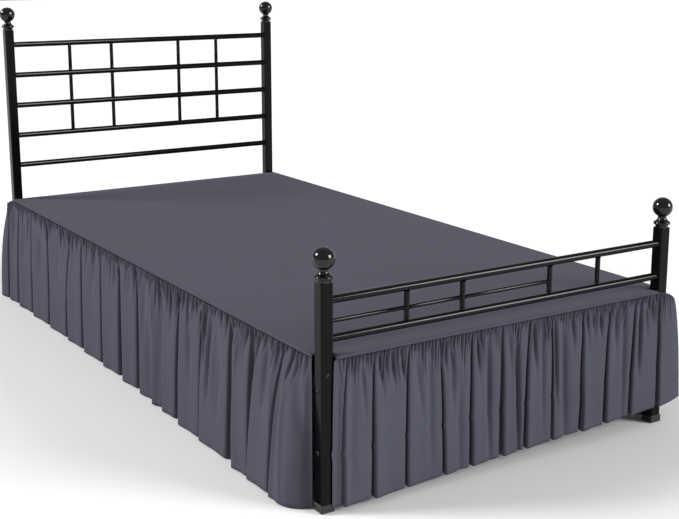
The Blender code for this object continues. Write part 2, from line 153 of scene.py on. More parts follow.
# The powder flows out smoother and glossier over drawn tube than over the posts, and most over the balls.
TUBE_STEEL = powder_coated_steel("powder_coated_tube_steel", 0.18, 0.07)
BALL_STEEL = powder_coated_steel("powder_coated_ball_steel", 0.45, 0.06)
CORNERS = ("foot_left", "foot_right", "head_left", "head_right")


def coat(name, material):
    """Gives a carried-over node its finish."""
    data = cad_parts[name].data
    data.materials.clear()
    data.materials.append(material)


for corner in CORNERS:
    coat(f"post_{corner}", STEEL)
for name in ("side_rail_left", "side_rail_right", "cross_rail_foot", "cross_rail_head", "centre_rail"):
    coat(name, STEEL)
for number in range(1, 12):
    coat(f"slat_{number}", STEEL)

# ---- glides
# A pushed-on cap under each post, injection moulded in black polyethylene, which leaves it matt and
# slightly waxy.


def moulded_polyethylene():
    """A moulded skin has a fine grain, here 2 mm so that it shows at all."""
    colour = linear("#19191a")
    material, shader = new_material("moulded_polyethylene", Base_Color=colour, Roughness=0.5, IOR=1.51)
    place = node(material, "ShaderNodeTexCoord")
    grain = node(material, "ShaderNodeTexNoise", [("Vector", place.outputs["Object"])], Scale=1 / 0.002)
    from_grain = [("Height", grain.outputs["Fac"])]
    raised = node(material, "ShaderNodeBump", from_grain, Strength=0.2, Distance=0.0001)
    material.node_tree.links.new(shader.inputs["Normal"], raised.outputs["Normal"])
    return material


POLYETHYLENE = moulded_polyethylene()
for corner in CORNERS:
    coat(f"glide_{corner}", POLYETHYLENE)

# ---- rails and spindles
# Drawn round steel tube, cut to length and welded between the posts and between the rails. Each end has
# the small fillet that the weld leaves, under the same powder coat.


def smooth_piece(name, bm, material, sharp_angle=40.0):
    """Turns a bmesh into a finished piece that rides on the bed."""
    bmesh.ops.recalc_face_normals(bm, faces=bm.faces)
    for face in bm.faces:
        face.smooth = True
    for edge in bm.edges:
        if len(edge.link_faces) == 2 and edge.calc_face_angle() > math.radians(sharp_angle):
            edge.smooth = False
    mesh = bpy.data.meshes.new(name)
    bm.to_mesh(mesh)
    bm.free()
    mesh.materials.append(material)
    piece = bpy.data.objects.new(name, mesh)
    bpy.context.scene.collection.objects.link(piece)
    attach(piece, "root")
    return piece


def turned(profile, steps):
    """Spins (radius, height) points round Z into a closed shape."""
    bm = bmesh.new()
    points = [bm.verts.new((radius, 0.0, height)) for radius, height in profile]
    edges = [bm.edges.new(pair) for pair in zip(points, points[1:])]
    bmesh.ops.spin(
        bm,
        geom=points + edges,
        cent=(0, 0, 0),
        axis=(0, 0, 1),
        angle=math.tau,
        steps=steps,
        use_merge=True,
    )
    bmesh.ops.remove_doubles(bm, verts=bm.verts, dist=0.00001)
    return bm


TUBE_STEPS = 32
RAIL_FILLET = 0.0016
SPINDLE_FILLET = 0.0010


def tube_between(name, fillet):
    """A tube in the place of a node, with a weld fillet at each end."""
    low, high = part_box(name)
    size = high - low
    along = max(range(3), key=lambda axis: size[axis])
    radius = min(size) / 2
    length = size[along]
    waist = (radius + 0.45 * fillet, 0.5 * fillet)
    foot = [(0.0, 0.0), (radius + fillet, 0.0), waist, (radius, 1.8 * fillet)]
    bm = turned(foot + [(r, length - h) for r, h in reversed(foot)], TUBE_STEPS)
    if along == 0:
        bmesh.ops.rotate(bm, cent=(0, 0, 0), matrix=Matrix.Rotation(math.radians(90), 3, "Y"), verts=bm.verts)
    start = (low + high) / 2
    start[along] = low[along]
    bmesh.ops.translate(bm, vec=start, verts=bm.verts)
    piece = smooth_piece(f"{name}_tube", bm, TUBE_STEEL)
    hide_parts(name)


for number in range(1, 6):
    tube_between(f"head_rail_{number}", RAIL_FILLET)
for name in ("foot_rail_upper", "foot_rail_lower"):
    tube_between(name, RAIL_FILLET)
for number in range(1, 4):
    tube_between(f"foot_thin_rail_{number}", SPINDLE_FILLET)
for number in range(1, 5):
    tube_between(f"foot_spindle_{number}", SPINDLE_FILLET)
    for row in range(1, 4):
        tube_between(f"head_spindle_{row}_{number}", SPINDLE_FILLET)

# ---- finials
# A hollow steel ball on a waisted neck and a flared collar, spun in one piece, coated with the posts and
# pushed into their open tops.

BALL_RADIUS = 0.0256
BALL_ABOVE_POST = 0.0524
# The neck and collar, from the top down: (radius, height above the post).
COLLAR = (
    (0.0108, 0.0268),
    (0.0112, 0.0246),
    (0.0124, 0.0218),
    (0.0150, 0.0188),
    (0.0185, 0.0162),
    (0.0208, 0.0144),
    (0.0215, 0.0130),
    (0.0215, 0.0098),
    (0.0206, 0.0088),
    (0.0176, 0.0080),
    (0.0165, 0.0070),
    (0.0165, 0.0003),
    (0.0000, 0.0003),
)
BALL_STEPS = 26
ROUND_STEPS = 56
NECK_ANGLE = math.radians(-64)


def finial(corner):
    low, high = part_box(f"finial_{corner}")
    ball = [(0.0, BALL_ABOVE_POST + BALL_RADIUS)]
    for i in range(1, BALL_STEPS + 1):
        angle = math.radians(90) + (NECK_ANGLE - math.radians(90)) * i / BALL_STEPS
        ball.append((BALL_RADIUS * math.cos(angle), BALL_ABOVE_POST + BALL_RADIUS * math.sin(angle)))
    bm = turned(ball + list(COLLAR), ROUND_STEPS)
    post_top = high.z - BALL_ABOVE_POST - BALL_RADIUS
    bmesh.ops.translate(bm, vec=((low.x + high.x) / 2, (low.y + high.y) / 2, post_top), verts=bm.verts)
    piece = smooth_piece(f"finial_{corner}_turned", bm, BALL_STEEL, 50.0)
    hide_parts(f"finial_{corner}")


for corner in CORNERS:
    finial(corner)

# ---- bolts
# Button-head screws that hold the side and cross rails to the posts, in blackened steel, each with a
# six-sided socket for its key.

BOLT_RADIUS = 0.0052
BOLT_HEIGHT = 0.0024
SOCKET_RADIUS = 0.0025
SOCKET_DEPTH = 0.0014
BOLT_STEPS = 36
BOLT_DOME = (
    (BOLT_RADIUS, 0.0),
    (BOLT_RADIUS, 0.0006),
    (0.0046, 0.0015),
    (0.0036, 0.0021),
    (0.0029, BOLT_HEIGHT),
)


def blackened_steel():
    """Oiled black oxide over machined steel: dark and half glossy, unevenly so from being handled."""
    material, shader = new_material("blackened_steel", Base_Color=linear("#3a3a3c"), Metallic=0.9)
    place = node(material, "ShaderNodeTexCoord")
    rubs = node(material, "ShaderNodeTexNoise", [("Vector", place.outputs["Object"])], Scale=1 / 0.001)
    gloss = node(material, "ShaderNodeMapRange", [("Value", rubs.outputs["Fac"])], To_Min=0.28, To_Max=0.45)
    material.node_tree.links.new(shader.inputs["Roughness"], gloss.outputs["Result"])
    return material


BLACK_OXIDE = blackened_steel()


def bolt(name, place, outward):
    bm = turned([(0.0, 0.0), *BOLT_DOME, (SOCKET_RADIUS, BOLT_HEIGHT)], BOLT_STEPS)
    rim = [e for e in bm.edges if e.is_boundary]
    sunk = bmesh.ops.extrude_edge_only(bm, edges=rim)["geom"]
    floor_points = [g for g in sunk if isinstance(g, bmesh.types.BMVert)]
    bmesh.ops.translate(bm, vec=(0, 0, -SOCKET_DEPTH), verts=floor_points)
    for v in floor_points:
        # A six-sided floor: the radius follows the flats of a hexagon.
        angle = math.atan2(v.co.y, v.co.x) % math.radians(60) - math.radians(30)
        reach = SOCKET_RADIUS * 0.87 / math.cos(angle) / max(v.co.xy.length, 1e-9)
        v.co.x *= reach
        v.co.y *= reach
    bmesh.ops.holes_fill(bm, edges=[e for e in bm.edges if e.is_boundary], sides=0)
    turn = Vector(outward).to_track_quat("Z", "Y").to_matrix()
    bmesh.ops.rotate(bm, cent=(0, 0, 0), matrix=turn, verts=bm.verts)
    bmesh.ops.translate(bm, vec=Vector(place) + Vector(outward) * 0.0002, verts=bm.verts)
    smooth_piece(name, bm, BLACK_OXIDE, 50.0)


SIDE_BOLT_Z = (0.281, 0.139)
FRONT_BOLT_Z = 0.320
for corner in ("foot_left", "foot_right"):
    low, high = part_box(f"post_{corner}")
    middle = (low + high) / 2
    outer, outward = (low.x, (-1, 0, 0)) if "left" in corner else (high.x, (1, 0, 0))
    bolt(f"bolt_front_{corner}", (middle.x, low.y, FRONT_BOLT_Z), (0, -1, 0))
    for number, z in enumerate(SIDE_BOLT_Z, 1):
        bolt(f"bolt_side_{corner}_{number}", (outer, middle.y, z), outward)

# ---- deck panel
# One flat piece of brushed microfibre laid over the slats and turned down over the frame, notched at the
# corners for the posts. Its edge is sewn to the ruffles, which draws the seam in a little.


def brushed_microfibre(name, hex_colour):
    """Woven polyester microfibre, brushed to a short soft nap: no gloss, a faint light edge from the nap,
    and slight clouding where the nap lies differently. The threads are 0.2 mm apart in the real cloth, too
    fine to show, so they are drawn at 1.2 mm."""
    material, shader = new_material(
        name, Base_Color=linear(hex_colour), Roughness=0.9, Specular_IOR_Level=0.08, Sheen_Weight=0.02
    )
    run = node(material, "ShaderNodeUVMap", uv_map="cloth")
    from_run = [("Vector", run.outputs["UV"])]
    clouds = node(material, "ShaderNodeTexNoise", from_run, Scale=1 / 0.09, Detail=4.0)
    from_clouds = [("Value", clouds.outputs["Fac"])]
    tone = node(material, "ShaderNodeMapRange", from_clouds, To_Min=0.93, To_Max=1.07)
    from_tone = [("Value", tone.outputs["Result"])]
    base = node(material, "ShaderNodeHueSaturation", from_tone, Color=linear(hex_colour))
    # The wave repeats every 2 pi / (20 * scale), so the scale comes from the thread spacing in metres.
    thread = math.tau / 20 / 0.0012
    warp = node(material, "ShaderNodeTexWave", from_run, bands_direction="X", Scale=thread)
    weft = node(material, "ShaderNodeTexWave", from_run, bands_direction="Y", Scale=thread)
    crossed = node(material, "ShaderNodeMath", operation="MULTIPLY")
    material.node_tree.links.new(crossed.inputs[0], warp.outputs["Fac"])
    material.node_tree.links.new(crossed.inputs[1], weft.outputs["Fac"])
    from_crossed = [("Height", crossed.outputs["Value"])]
    weave = node(material, "ShaderNodeBump", from_crossed, Strength=0.15, Distance=0.0002)
    nap = node(material, "ShaderNodeTexNoise", from_run, Scale=1 / 0.004, Detail=5.0)
    from_nap = [("Height", nap.outputs["Fac"]), ("Normal", weave.outputs["Normal"])]
    soft = node(material, "ShaderNodeBump", from_nap, Strength=0.2, Distance=0.0004)
    material.node_tree.links.new(shader.inputs["Base Color"], base.outputs["Color"])
    material.node_tree.links.new(shader.inputs["Normal"], soft.outputs["Normal"])
    return material


MICROFIBRE = brushed_microfibre("brushed_microfibre", "#4b4b57")

BED_SHIFT_Y = -0.004
HALF_X = 0.510  # the posts' middles, from the bed's middle
HALF_Y = 1.046
FOOT_Y = BED_SHIFT_Y - HALF_Y
HEAD_Y = BED_SHIFT_Y + HALF_Y
POST_HALF = 0.0155
POST_INNER_X = HALF_X - POST_HALF
SEAM_OUT = 0.0035  # how far the seams hang outside the posts' outer faces
POST_CLEARANCE = 0.003  # cut edges of cloth beside a post
SEAM_X = HALF_X + POST_HALF + SEAM_OUT
SEAM_FOOT_Y = FOOT_Y - POST_HALF - SEAM_OUT
DECK_Z = 0.361
DECK_ROLL = 0.003  # radius at which the deck turns down over the frame
DECK_CELL = 0.014
NOTCH_X = POST_INNER_X - POST_CLEARANCE
NOTCH_Y = FOOT_Y + POST_HALF + POST_CLEARANCE
DECK_HEAD_Y = HEAD_Y - POST_HALF - POST_CLEARANCE
TAB_LENGTH = 0.055  # cloth that runs past an inner post face, outside the post
TAB_STEPS = 4
HEAD_TAB_DROOP = 0.25  # metres that a tab falls for each metre along it
FOOT_TAB_DROOP = 0.12
SIDE_SEAM_Z = (0.353, 0.352)  # foot end, head end
FOOT_SEAM_Z = (0.352, 0.354)  # left, right
SHEET = 0.0012
SEAM_TUCK = 0.0014  # how far the stitching draws the seam in
DECK_SWELL = 0.0014  # the most that the cloth lies off the slats


def blend(first, second, share):
    return first + (second - first) * share


def side_seam_z(y):
    return blend(*SIDE_SEAM_Z, (y - FOOT_Y) / (2 * HALF_Y)) - HEAD_TAB_DROOP * max(0.0, y - DECK_HEAD_Y)


def foot_seam_z(x):
    return blend(*FOOT_SEAM_Z, (x + HALF_X) / (2 * HALF_X)) - FOOT_TAB_DROOP * max(0.0, x - NOTCH_X)


def foot_tab_sag(x):
    """How far the seam's free end sags past the middle of the right foot post."""
    return 8.0 * max(0.0, x - HALF_X) ** 2


def places_between(stops, spacing):
    """The stops, with places between them no further apart than the spacing."""
    found = [stops[0]]
    for here, there in zip(stops, stops[1:]):
        count = max(1, math.ceil((there - here) / spacing))
        found += [blend(here, there, (i + 1) / count) for i in range(count)]
    return found


def drawn_out(bm, edges, move):
    """Extrudes edges by one move, and returns the new free edges."""
    made = bmesh.ops.extrude_edge_only(bm, edges=edges)["geom"]
    points = {g for g in made if isinstance(g, bmesh.types.BMVert)}
    bmesh.ops.translate(bm, vec=move, verts=list(points))
    return [g for g in made if isinstance(g, bmesh.types.BMEdge) and all(v in points for v in g.verts)]


def as_cloth(piece):
    """Gives a finished sheet its thickness."""
    solid = piece.modifiers.new("cloth", "SOLIDIFY")
    solid.thickness = SHEET
    solid.offset = 0.0


def deck_panel():
    flat_x = SEAM_X - DECK_ROLL
    flat_foot_y = SEAM_FOOT_Y + DECK_ROLL
    columns = places_between((-flat_x, -NOTCH_X, NOTCH_X, flat_x), DECK_CELL)
    rows = places_between((flat_foot_y, NOTCH_Y, DECK_HEAD_Y), DECK_CELL)
    bm = bmesh.new()
    bmesh.ops.create_grid(bm, x_segments=len(columns) - 1, y_segments=len(rows) - 1, size=1.0)
    for v in bm.verts:
        column = round((v.co.x + 1) / 2 * (len(columns) - 1))
        row = round((v.co.y + 1) / 2 * (len(rows) - 1))
        v.co = (columns[column], rows[row], DECK_Z)
    notches = [
        f
        for f in bm.faces
        if f.calc_center_median().y < NOTCH_Y and abs(f.calc_center_median().x) > NOTCH_X
    ]
    bmesh.ops.delete(bm, geom=notches, context="FACES")

    def rim(test):
        return [e for e in bm.edges if e.is_boundary and all(test(v.co) for v in e.verts)]

    near = 0.0003
    drops = (
        (rim(lambda p: p.x < -flat_x + near), Vector((-1, 0, 0))),
        (rim(lambda p: p.x > flat_x - near), Vector((1, 0, 0))),
        (rim(lambda p: p.y < flat_foot_y + near), Vector((0, -1, 0))),
    )
    turns = [math.radians(15 * i) for i in range(7)]
    for edges, outward in drops:
        for before, after in zip(turns, turns[1:]):
            out = DECK_ROLL * (math.sin(after) - math.sin(before))
            down = DECK_ROLL * (math.cos(before) - math.cos(after))
            edges = drawn_out(bm, edges, outward * out - Vector((0, 0, down)))
        for share in (0.5, 1.0):
            edges = drawn_out(bm, edges, Vector((0, 0, -0.0002)))
            for v in {v for e in edges for v in e.verts}:
                seam = foot_seam_z(v.co.x) if outward.y else side_seam_z(v.co.y)
                v.co.z = blend(DECK_Z - DECK_ROLL, seam, share)
        for v in {v for e in edges for v in e.verts}:
            v.co -= outward * SEAM_TUCK

    def drop_end(place, axis):
        top = DECK_Z - DECK_ROLL + near
        return rim(lambda p: abs(p[axis] - place) < near and p.z < top)

    head_tabs = [e for e in drop_end(DECK_HEAD_Y, 1) if abs(e.verts[0].co.x) > SEAM_X - 2 * SEAM_TUCK]
    foot_tab = [e for e in drop_end(NOTCH_X, 0) if e.verts[0].co.y < SEAM_FOOT_Y + 2 * SEAM_TUCK]
    head_fall = side_seam_z(DECK_HEAD_Y + TAB_LENGTH) - side_seam_z(DECK_HEAD_Y)
    foot_fall = foot_seam_z(NOTCH_X + TAB_LENGTH) - foot_seam_z(NOTCH_X)
    for tabs, move in (
        (head_tabs, Vector((0, TAB_LENGTH / TAB_STEPS, head_fall / TAB_STEPS))),
        (foot_tab, Vector((TAB_LENGTH / TAB_STEPS, 0, foot_fall / TAB_STEPS))),
    ):
        for _ in range(TAB_STEPS):
            tabs = drawn_out(bm, tabs, move)
    for v in bm.verts:
        if v.co.y < SEAM_FOOT_Y + 2 * SEAM_TUCK:
            v.co.z -= foot_tab_sag(v.co.x)

    uv = bm.loops.layers.uv.new("cloth")
    for v in bm.verts:
        inside = min(flat_x - abs(v.co.x), v.co.y - flat_foot_y, DECK_HEAD_Y - v.co.y)
        if inside > 0:
            # The cloth lies a little higher here and there, but not at its edges.
            swell = noise.noise(Vector((v.co.x * 3.1, v.co.y * 2.3, 4.7))) + 0.4
            v.co.z += DECK_SWELL * max(0.0, swell) * min(1.0, inside / 0.08)
    for face in bm.faces:
        for loop in face.loops:
            loop[uv].uv = (loop.vert.co.x, loop.vert.co.y - loop.vert.co.z)
    panel = smooth_piece("deck_panel", bm, MICROFIBRE, 80.0)
    as_cloth(panel)
    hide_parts("skirt_deck")
    return panel


DECK_PANEL = deck_panel()

# ---- ruffles
# A strip of the same microfibre down each side and across the foot, gathered on a thread to about three
# quarters of its length and sewn to the deck's edge. The gathers close up into deep folds that hang free.

# How far a side ruffle stands out from its seam at the hem, at places along the bed from its middle.
Flare = namedtuple("Flare", "place out")
SIDE_FLARE = (
    Flare(-1.062, 0.050),
    Flare(-0.992, 0.045),
    Flare(-0.912, 0.046),
    Flare(-0.632, 0.034),
    Flare(-0.112, 0.020),
    Flare(0.588, 0.0215),
    Flare(0.968, 0.026),
    Flare(1.028, 0.029),
    Flare(1.088, 0.050),
)

# One main fold is a groove and the lobe after it. Places are along the run from its middle: seam and hem
# say where the groove's far edge starts and ends. The gap is its width half way down, and the growth is how
# many more gaps wide it is at the hem than at the seam. Depths are below the gathers, further down and at
# the hem. The lip is how far the lobe's first edge stands out at the hem.
Fold = namedtuple("Fold", "seam hem gap growth top_depth middle_depth hem_depth lip")
SIDE_FOLDS = (
    Fold(-1.055, -1.023, 0.012, 1.0, 0.010, 0.014, 0.016, 0.008),
    Fold(-0.963, -0.926, 0.016, 1.0, 0.014, 0.022, 0.030, 0.009),
    Fold(-0.838, -0.783, 0.015, 1.0, 0.016, 0.024, 0.026, 0.009),
    Fold(-0.668, -0.620, 0.014, 1.0, 0.020, 0.008, 0.026, 0.008),
    Fold(-0.448, -0.458, 0.014, 1.0, 0.006, 0.003, 0.022, 0.008),
    Fold(-0.360, -0.317, 0.016, 1.0, 0.012, 0.022, 0.030, 0.008),
    Fold(-0.200, -0.157, 0.014, 1.0, 0.016, 0.022, 0.026, 0.008),
    Fold(-0.056, -0.007, 0.022, 1.0, 0.016, 0.028, 0.034, 0.010),
    Fold(0.072, 0.120, 0.018, 1.0, 0.018, 0.026, 0.026, 0.009),
    Fold(0.185, 0.222, 0.008, 1.0, 0.003, 0.005, 0.008, 0.014),
    Fold(0.234, 0.285, 0.009, 1.0, 0.008, 0.010, 0.008, 0.010),
    Fold(0.360, 0.392, 0.018, 1.0, 0.016, 0.026, 0.030, 0.012),
    Fold(0.499, 0.528, 0.009, -0.5, 0.012, 0.010, 0.008, 0.010),
    Fold(0.654, 0.710, 0.022, 1.0, 0.018, 0.026, 0.034, 0.011),
    Fold(0.782, 0.805, 0.014, -1.8, 0.022, 0.015, 0.004, 0.008),
    Fold(0.919, 0.914, 0.008, 0.6, 0.014, 0.010, 0.010, 0.009),
)
FOOT_FOLDS = (
    Fold(-0.460, -0.477, 0.003, 1.0, 0.005, 0.006, 0.006, 0.004),
    Fold(-0.389, -0.398, 0.003, 1.0, 0.010, 0.014, 0.012, 0.007),
    Fold(-0.296, -0.305, 0.003, 1.0, 0.011, 0.018, 0.009, 0.003),
    Fold(-0.210, -0.199, 0.003, 1.0, 0.012, 0.018, 0.009, 0.003),
    Fold(-0.116, -0.118, 0.004, 1.0, 0.014, 0.020, 0.010, 0.003),
    Fold(-0.024, -0.025, 0.007, 0.6, 0.010, 0.016, 0.010, 0.004),
    Fold(0.059, 0.049, 0.004, 1.0, 0.010, 0.018, 0.012, 0.004),
    Fold(0.127, 0.135, 0.004, 0.4, 0.009, 0.012, 0.006, 0.002),
    Fold(0.232, 0.227, 0.003, 1.0, 0.013, 0.020, 0.018, 0.008),
    Fold(0.324, 0.310, 0.004, 1.0, 0.010, 0.016, 0.014, 0.005),
    Fold(0.415, 0.399, 0.005, 0.6, 0.009, 0.014, 0.008, 0.003),
    Fold(0.497, 0.498, 0.006, 0.6, 0.008, 0.012, 0.008, 0.004),
)

# A smaller crease: where it starts and ends along the run and down the drop, as shares of
# the drop, how far it goes in, and half its width. One that stands out has a depth below nothing.
Crease = namedtuple("Crease", "start end first last depth width")
SIDE_CREASES = (
    Crease(-1.018, -0.988, 0.06, 0.40, 0.008, 0.012),
    Crease(-0.888, -0.890, 0.15, 0.55, 0.005, 0.014),
    Crease(-0.858, -0.862, 0.04, 0.36, 0.009, 0.007),
    Crease(-0.735, -0.716, 0.20, 0.55, 0.007, 0.014),
    Crease(-0.560, -0.545, 0.05, 0.60, 0.004, 0.018),
    Crease(-0.505, -0.495, 0.03, 0.22, 0.008, 0.006),
    Crease(-0.448, -0.446, 0.02, 0.22, 0.012, 0.006),
    Crease(-0.262, -0.252, 0.15, 0.55, 0.005, 0.014),
    Crease(-0.093, -0.078, 0.02, 0.28, 0.010, 0.006),
    Crease(0.020, 0.032, 0.03, 0.30, 0.005, 0.009),
    Crease(0.132, 0.150, 0.04, 0.60, 0.005, 0.012),
    Crease(0.172, 0.205, 0.35, 1.20, 0.008, 0.018),
    Crease(0.250, 0.275, 0.08, 1.20, 0.009, 0.020),
    Crease(0.318, 0.330, 0.05, 0.40, 0.004, 0.009),
    Crease(0.422, 0.466, 0.12, 0.66, 0.008, 0.010),
    Crease(0.524, 0.541, 0.05, 0.48, 0.009, 0.006),
    Crease(0.550, 0.572, 0.04, 0.72, 0.012, 0.007),
    Crease(0.590, 0.606, 0.05, 0.70, 0.004, 0.009),
    Crease(0.612, 0.624, 0.20, 0.80, 0.008, 0.013),
    Crease(0.674, 0.678, 0.02, 0.20, 0.008, 0.005),
    Crease(0.700, 0.704, 0.02, 0.22, 0.009, 0.006),
    Crease(0.728, 0.716, 0.02, 0.34, 0.008, 0.008),
    Crease(0.842, 0.864, 0.04, 0.50, 0.010, 0.009),
    Crease(0.884, 0.900, 0.04, 0.60, -0.004, 0.007),
    Crease(0.930, 0.938, 0.10, 1.20, 0.007, 0.013),
    Crease(0.946, 0.970, 0.10, 1.20, -0.005, 0.008),
    Crease(0.978, 1.024, 0.04, 0.62, 0.008, 0.014),
)
FOOT_CREASES = (
    Crease(-0.484, -0.492, 0.05, 1.20, 0.005, 0.005),
    Crease(-0.452, -0.462, 0.05, 1.20, 0.005, 0.012),
    Crease(-0.425, -0.418, 0.05, 0.42, 0.006, 0.005),
    Crease(-0.379, -0.374, 0.02, 0.24, 0.010, 0.005),
    Crease(-0.360, -0.358, 0.02, 0.20, 0.008, 0.005),
    Crease(-0.342, -0.336, 0.02, 0.26, 0.010, 0.005),
    Crease(-0.318, -0.308, 0.01, 0.26, 0.013, 0.004),
    Crease(-0.280, -0.257, 0.08, 0.60, 0.006, 0.008),
    Crease(-0.240, -0.238, 0.04, 0.95, 0.006, 0.009),
    Crease(-0.205, -0.203, 0.02, 0.22, 0.010, 0.004),
    Crease(-0.192, -0.197, 0.02, 0.24, 0.010, 0.004),
    Crease(-0.178, -0.172, 0.02, 0.60, 0.008, 0.007),
    Crease(-0.156, -0.154, 0.30, 1.20, 0.006, 0.010),
    Crease(-0.100, -0.098, 0.01, 0.34, 0.011, 0.005),
    Crease(-0.070, -0.065, 0.03, 1.10, 0.010, 0.007),
    Crease(-0.008, 0.002, 0.02, 0.40, 0.006, 0.007),
    Crease(0.016, 0.026, 0.03, 1.20, 0.013, 0.006),
    Crease(0.070, 0.078, 0.02, 0.42, 0.010, 0.005),
    Crease(0.098, 0.100, 0.03, 0.90, 0.006, 0.006),
    Crease(0.138, 0.146, 0.03, 0.80, 0.011, 0.005),
    Crease(0.164, 0.176, 0.05, 1.20, 0.010, 0.010),
    Crease(0.196, 0.200, 0.02, 0.30, 0.008, 0.006),
    Crease(0.241, 0.244, 0.02, 0.34, 0.006, 0.005),
    Crease(0.262, 0.266, 0.02, 0.24, 0.006, 0.006),
    Crease(0.292, 0.290, 0.01, 0.26, 0.011, 0.005),
    Crease(0.345, 0.340, 0.02, 0.40, 0.008, 0.006),
    Crease(0.372, 0.366, 0.03, 1.10, 0.008, 0.008),
    Crease(0.430, 0.422, 0.02, 0.70, 0.013, 0.006),
    Crease(0.452, 0.450, 0.02, 0.34, 0.006, 0.006),
    Crease(0.470, 0.472, 0.02, 0.24, 0.008, 0.005),
)
SIDE_HEM_Z = 0.003
FOOT_HEM_Z = (0.011, 0.053)  # left, right
SIDE_DROP = 0.351
FOOT_DROP = 0.322
SEAM_GAP = 0.0009  # the ruffles' cut tops hang this far below the deck's edge
FOOT_FLARE = 0.012
FLARE_RATE = 2.8  # how quickly, down the drop, a ruffle reaches its flare
SIDE_END_CURL = 4.0  # how sharply the free ends curl round the posts they pass, per metre
FOOT_END_CURL = 2.4
SIDE_POST_CURL = 18.0  # how sharply the ends beside a foot post curl in to it, per metre
FOOT_POST_CURL = 4.0
SIDE_CURL_RUN = 0.070  # how far before the post's middle that curl starts
FOOT_CURL_RUN = 0.050
SIDE_END_TURN = 0.014  # the last of an end beside a post, where its folds flatten into the seam's plane
FOOT_END_TURN = 0.030
FOOT_END_REACH = (0.001, 0.005)  # the foot ruffle's end past the post's inner face, and its growth downward
HEAD_END_GROWTH = 0.010  # how much longer a side ruffle is at its hem, past the head post
RIGHT_END_GROWTH = 0.045  # and the foot ruffle, past the right foot post
TOP_SHARE = 0.28
MIDDLE_SHARE = 0.62
OFF_POST = -0.0020  # how far in from its seam a ruffle can go before it meets a post
OFF_RAIL = -0.0048  # and before it meets a rail
SOFT_TOUCH = 0.0015  # over how much of that it eases to a stop
UNDER_RAIL = (0.04, 0.035)  # how much further in it can go below a rail, and over what height
NEAR_POST = 0.004  # how far beside a post the cloth still keeps to the post's limit
SIDE_RAIL_UNDERSIDE = 0.306
CROSS_RAIL_UNDERSIDE = 0.321
PRESSED_SHARE = 0.63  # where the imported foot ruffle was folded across
# Rows down the drop, as shares of it: close together in the gathers.
ROWS = (0, 0.006, 0.014, 0.024, 0.036, 0.05, 0.068, 0.09, 0.115, 0.145, 0.18, 0.22, 0.27, 0.33, 0.39)
ROWS += (0.45, 0.51, 0.57, 0.605, 0.63, 0.655, 0.70, 0.76, 0.82, 0.88, 0.93, 0.97, 1.0)
Pucker = namedtuple("Pucker", "along height width length lean")
NEAR = 0.06  # how far along the run a pucker is looked for, and half as far as a crease
LIMPNESS = 0.0016  # slow unevenness everywhere below the gathers
SEAM_PUFF = 0.0022  # the gathers puff out just below the seam, and rise over it
SEAM_PUFF_RUN = 0.015
SEAM_RISE = 0.0045
SEAM_RISE_RUN = 0.007
PRESSED_RUN = 0.022  # half the height of the pressed fold line, as a share of the drop


def depth_at(fold, share):
    """How deep a groove is: it opens quickly below the gathers."""
    if share <= TOP_SHARE:
        return fold.top_depth * math.sqrt(share / TOP_SHARE)
    if share <= MIDDLE_SHARE:
        return blend(fold.top_depth, fold.middle_depth, (share - TOP_SHARE) / (MIDDLE_SHARE - TOP_SHARE))
    return blend(fold.middle_depth, fold.hem_depth, (share - MIDDLE_SHARE) / (1 - MIDDLE_SHARE))


def flare_at(share):
    return (1 - math.exp(-FLARE_RATE * share)) / (1 - math.exp(-FLARE_RATE))


def side_flare(place):
    for here, there in zip(SIDE_FLARE, SIDE_FLARE[1:]):
        if place <= there.place:
            share = (place - here.place) / (there.place - here.place)
            return blend(here.out, there.out, max(0.0, share))
    return SIDE_FLARE[-1].out


def eased(share):
    share = min(1.0, max(0.0, share))
    return share * share * (3 - 2 * share)


def section(folds, start, end, share, seed, opened):
    """The points that the cloth's section bends through at one share of the drop: (along, out). Each fold
    is a steep groove whose far side runs in under its lip, then a lobe and the shoulder of the next
    groove. Opened is how much wider than its table's gap a groove is, on its far side."""
    grooves = []
    for i, f in enumerate(folds):
        wander = 0.0022 * noise.noise(Vector((i * 7.3 + seed, share * 2.4, 0.5)))
        gap = f.gap * (1 + f.growth * (share - 0.5))
        edge = blend(f.seam, f.hem, flare_at(share)) + wander * min(1.0, share * 4) + opened * gap
        grooves.append((edge, (1 + 0.9 * opened) * gap + 0.0025, depth_at(f, share), f))
    points = [(start, 0.0)]
    before = start
    last_lip = 0.0
    for i, (edge, gap, depth, f) in enumerate(grooves):
        shoulder = edge - gap
        level = 0.45 * last_lip
        points += [
            (blend(before, shoulder, 0.5) if i == 0 else shoulder - 0.012, level),
            (shoulder - 0.0045, 0.8 * level - 0.03 * depth),
            (shoulder - 0.0012, 0.5 * level - 0.12 * depth),
            (shoulder + 0.0006, -0.45 * depth),
            (shoulder + 0.12 * gap + 0.0006, -0.88 * depth),
            (shoulder + 0.45 * gap, -depth),
            (edge - 0.05 * gap + 0.0006, -0.90 * depth),
            (edge + 0.0016, -0.50 * depth),
        ]
        width = (grooves[i + 1][0] - grooves[i + 1][1] if i + 1 < len(grooves) else end) - edge
        lip = f.lip * share
        points += [
            (edge + 0.0003, -0.06 * depth + 0.4 * lip),
            (edge + 0.0045, 0.95 * lip + 0.0018 * min(1.0, share * 8)),
            (edge + 0.30 * width, 0.90 * lip),
            (edge + 0.50 * width, 0.60 * lip),
        ]
        before, last_lip = edge, lip
    points.append((end, 0.0))
    return points


def slope_at(points, chords, i):
    before, after = max(i - 1, 0), min(i + 1, len(points) - 1)
    span = sum(chords[before:after])
    return ((points[after][0] - points[before][0]) / span, (points[after][1] - points[before][1]) / span)


